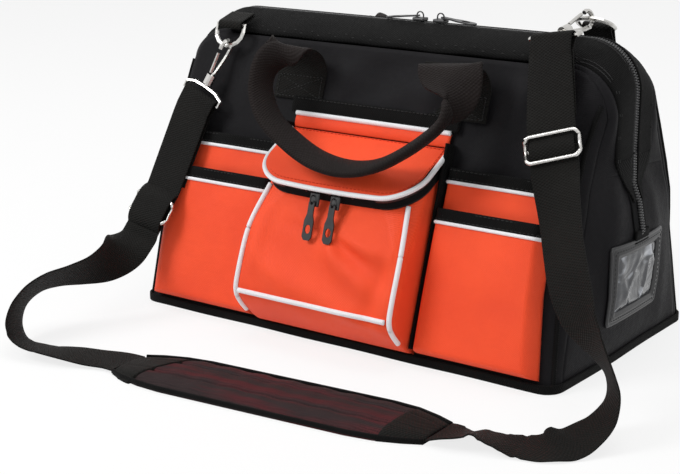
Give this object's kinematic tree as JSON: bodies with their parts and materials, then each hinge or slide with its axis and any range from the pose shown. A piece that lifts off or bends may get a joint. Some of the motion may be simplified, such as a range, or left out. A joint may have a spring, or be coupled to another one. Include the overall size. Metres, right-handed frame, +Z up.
{
  "type": "gate-mouth tool bag",
  "caption": "Open-top tool bag with a zipped wide mouth on hinged steel frames, a box pocket, tiered side pockets, carrying handles and a hooked shoulder strap with a pad.",
  "frame": {"origin": "centre of the base, on the surface that the bag stands on", "axes": "+X along the bag towards its card window, -Y towards the front pockets, +Z up"},
  "size_m": [0.5115, 0.4469, 0.273],
  "materials": {
    "body_cloth": "matte woven cloth",
    "orange_cloth": "matte woven cloth",
    "webbing": "ribbed webbing",
    "steel": "plain drawn rod",
    "nickel": "nickel plated",
    "zip_black": "moulded black",
    "board": "plain stiffener",
    "window_rim": "grained vinyl",
    "window_film": "clear film",
    "pad_mesh": "spacer mesh"
  },
  "bodies": {
    "bag": {"base_panel": "body_cloth", "base_board": "board", "base_binding": "webbing", "front_panel": "body_cloth", "back_panel": "body_cloth", "left_end_panel": "body_cloth", "right_end_panel": "body_cloth", "front_casing": "webbing", "front_zip_chain": "zip_black", "front_frame": "steel", "left_hinge_rivet": "steel", "right_hinge_rivet": "steel", "left_inner_pocket": "orange_cloth", "left_outer_pocket": "orange_cloth", "right_inner_pocket": "orange_cloth", "right_outer_pocket": "orange_cloth", "box_pocket": "orange_cloth", "box_zip_band": "zip_black", "lid_back_strip": "orange_cloth", "card_window_rim": "window_rim", "card_window_film": "window_film", "front_left_handle_patch": "webbing", "front_right_handle_patch": "webbing", "left_ring_tab": "webbing", "left_strap_loop": "nickel", "left_upper_strap": "webbing", "left_lower_strap": "webbing", "shoulder_pad": "pad_mesh", "right_lower_strap": "webbing", "right_upper_strap": "webbing"},
    "mouth_back": {"back_casing": "webbing", "back_zip_chain": "zip_black", "back_frame": "steel", "back_upper_panel": "body_cloth", "left_back_gusset": "body_cloth", "right_back_gusset": "body_cloth", "back_left_handle_patch": "webbing", "back_right_handle_patch": "webbing", "right_ring_tab": "webbing", "right_strap_loop": "nickel"},
    "front_handle": {"front_handle": "webbing"},
    "back_handle": {"back_handle": "webbing"},
    "pocket_lid": {"pocket_lid": "orange_cloth"},
    "left_top_slider": {"left_top_slider": "zip_black"},
    "left_top_pull": {"left_top_pull": "zip_black"},
    "right_top_slider": {"right_top_slider": "zip_black"},
    "right_top_pull": {"right_top_pull": "zip_black"},
    "left_box_slider": {"left_box_slider": "zip_black"},
    "left_box_pull": {"left_box_pull": "zip_black"},
    "right_box_slider": {"right_box_slider": "zip_black"},
    "right_box_pull": {"right_box_pull": "zip_black"},
    "left_ring": {"left_ring": "nickel"},
    "right_ring": {"right_ring": "nickel"},
    "left_hook": {"left_hook": "nickel"},
    "left_hook_gate": {"left_hook_gate": "nickel"},
    "right_hook": {"right_hook": "nickel"},
    "right_hook_gate": {"right_hook_gate": "nickel"},
    "left_strap_slider": {"left_strap_slider": "nickel"},
    "right_strap_slider": {"right_strap_slider": "nickel"}
  },
  "joints": [
    {"name": "mouth_hinge", "type": "hinge", "parent": "bag", "child": "mouth_back", "pos_m": [0, 0, 0.165], "axis": [-1, 0, 0], "range_deg": [0, 45], "deforming": ["back_upper_panel", "left_back_gusset", "right_back_gusset", "back_left_handle_patch", "back_right_handle_patch", "right_upper_strap"]},
    {"name": "front_handle_swing", "type": "hinge", "parent": "bag", "child": "front_handle", "pos_m": [0, -0.06649, 0.2325], "axis": [-1, 0, 0], "range_deg": [0, 140]},
    {"name": "back_handle_swing", "type": "hinge", "parent": "mouth_back", "child": "back_handle", "pos_m": [0, 0.06649, 0.2325], "axis": [1, 0, 0], "range_deg": [0, 114]},
    {"name": "pocket_lid_hinge", "type": "hinge", "parent": "bag", "child": "pocket_lid", "pos_m": [0, -0.06455, 0.16479], "axis": [-1, 0, 0], "range_deg": [0, 85], "deforming": ["front_handle"]},
    {"name": "left_top_slide", "type": "slide", "parent": "bag", "child": "left_top_slider", "axis": [-1, 0, 0], "range_m": [0, 0.14]},
    {"name": "left_top_pull_swing", "type": "hinge", "parent": "left_top_slider", "child": "left_top_pull", "pos_m": [0.008, 0, 0.2583], "axis": [0, 1, 0], "range_deg": [0, 150]},
    {"name": "right_top_slide", "type": "slide", "parent": "bag", "child": "right_top_slider", "axis": [1, 0, 0], "range_m": [0, 0.08]},
    {"name": "right_top_pull_swing", "type": "hinge", "parent": "right_top_slider", "child": "right_top_pull", "pos_m": [0.028, 0, 0.2583], "axis": [0, -1, 0], "range_deg": [0, 150]},
    {"name": "left_box_slide", "type": "slide", "parent": "bag", "child": "left_box_slider", "axis": [-1, 0, 0], "range_m": [0, 0.055]},
    {"name": "left_box_pull_swing", "type": "hinge", "parent": "left_box_slider", "child": "left_box_pull", "pos_m": [-0.012, -0.1251, 0.12351], "axis": [-1, 0, 0], "range_deg": [0, 120]},
    {"name": "right_box_slide", "type": "slide", "parent": "bag", "child": "right_box_slider", "axis": [1, 0, 0], "range_m": [0, 0.058]},
    {"name": "right_box_pull_swing", "type": "hinge", "parent": "right_box_slider", "child": "right_box_pull", "pos_m": [0.008, -0.1251, 0.12351], "axis": [-1, 0, 0], "range_deg": [0, 120]},
    {"name": "left_ring_swing", "type": "hinge", "parent": "bag", "child": "left_ring", "pos_m": [-0.157, -0.0455, 0.243], "axis": [1, 0, 0], "range_deg": [-2.5, 2.5]},
    {"name": "right_ring_swing", "type": "hinge", "parent": "mouth_back", "child": "right_ring", "pos_m": [0.155, 0.0315, 0.257], "axis": [1, 0, 0], "range_deg": [-3, 3]},
    {"name": "left_hook_swivel", "type": "hinge", "parent": "bag", "child": "left_hook", "pos_m": [-0.15769, -0.05293, 0.2236], "axis": [-0.3611, -0.3009, -0.8827], "range_deg": [-10, 10]},
    {"name": "left_gate_hinge", "type": "hinge", "parent": "left_hook", "child": "left_hook_gate", "pos_m": [-0.16683, -0.06369, 0.20215], "axis": [-0.9324, 0.0992, 0.3476], "range_deg": [0, 22], "stiffness_Nm_per_rad": 0.0005, "springref_deg": -28.65},
    {"name": "right_hook_swivel", "type": "hinge", "parent": "mouth_back", "child": "right_hook", "pos_m": [0.15481, 0.01257, 0.265], "axis": [-0.1014, -0.978, -0.1824], "range_deg": [-8, 8]},
    {"name": "right_gate_hinge", "type": "hinge", "parent": "right_hook", "child": "right_hook_gate", "pos_m": [0.15159, -0.01286, 0.26351], "axis": [-0.9757, 0.1335, -0.1736], "range_deg": [0, 22], "stiffness_Nm_per_rad": 0.0005, "springref_deg": -28.65},
    {"name": "left_strap_slide", "type": "slide", "parent": "bag", "child": "left_strap_slider", "axis": [-0.17, -0.5269, -0.8328], "range_m": [-0.007, 0.007]},
    {"name": "right_strap_slide", "type": "slide", "parent": "bag", "child": "right_strap_slider", "axis": [0.3455, -0.4129, -0.8427], "range_m": [-0.007, 0.007]}
  ]
}
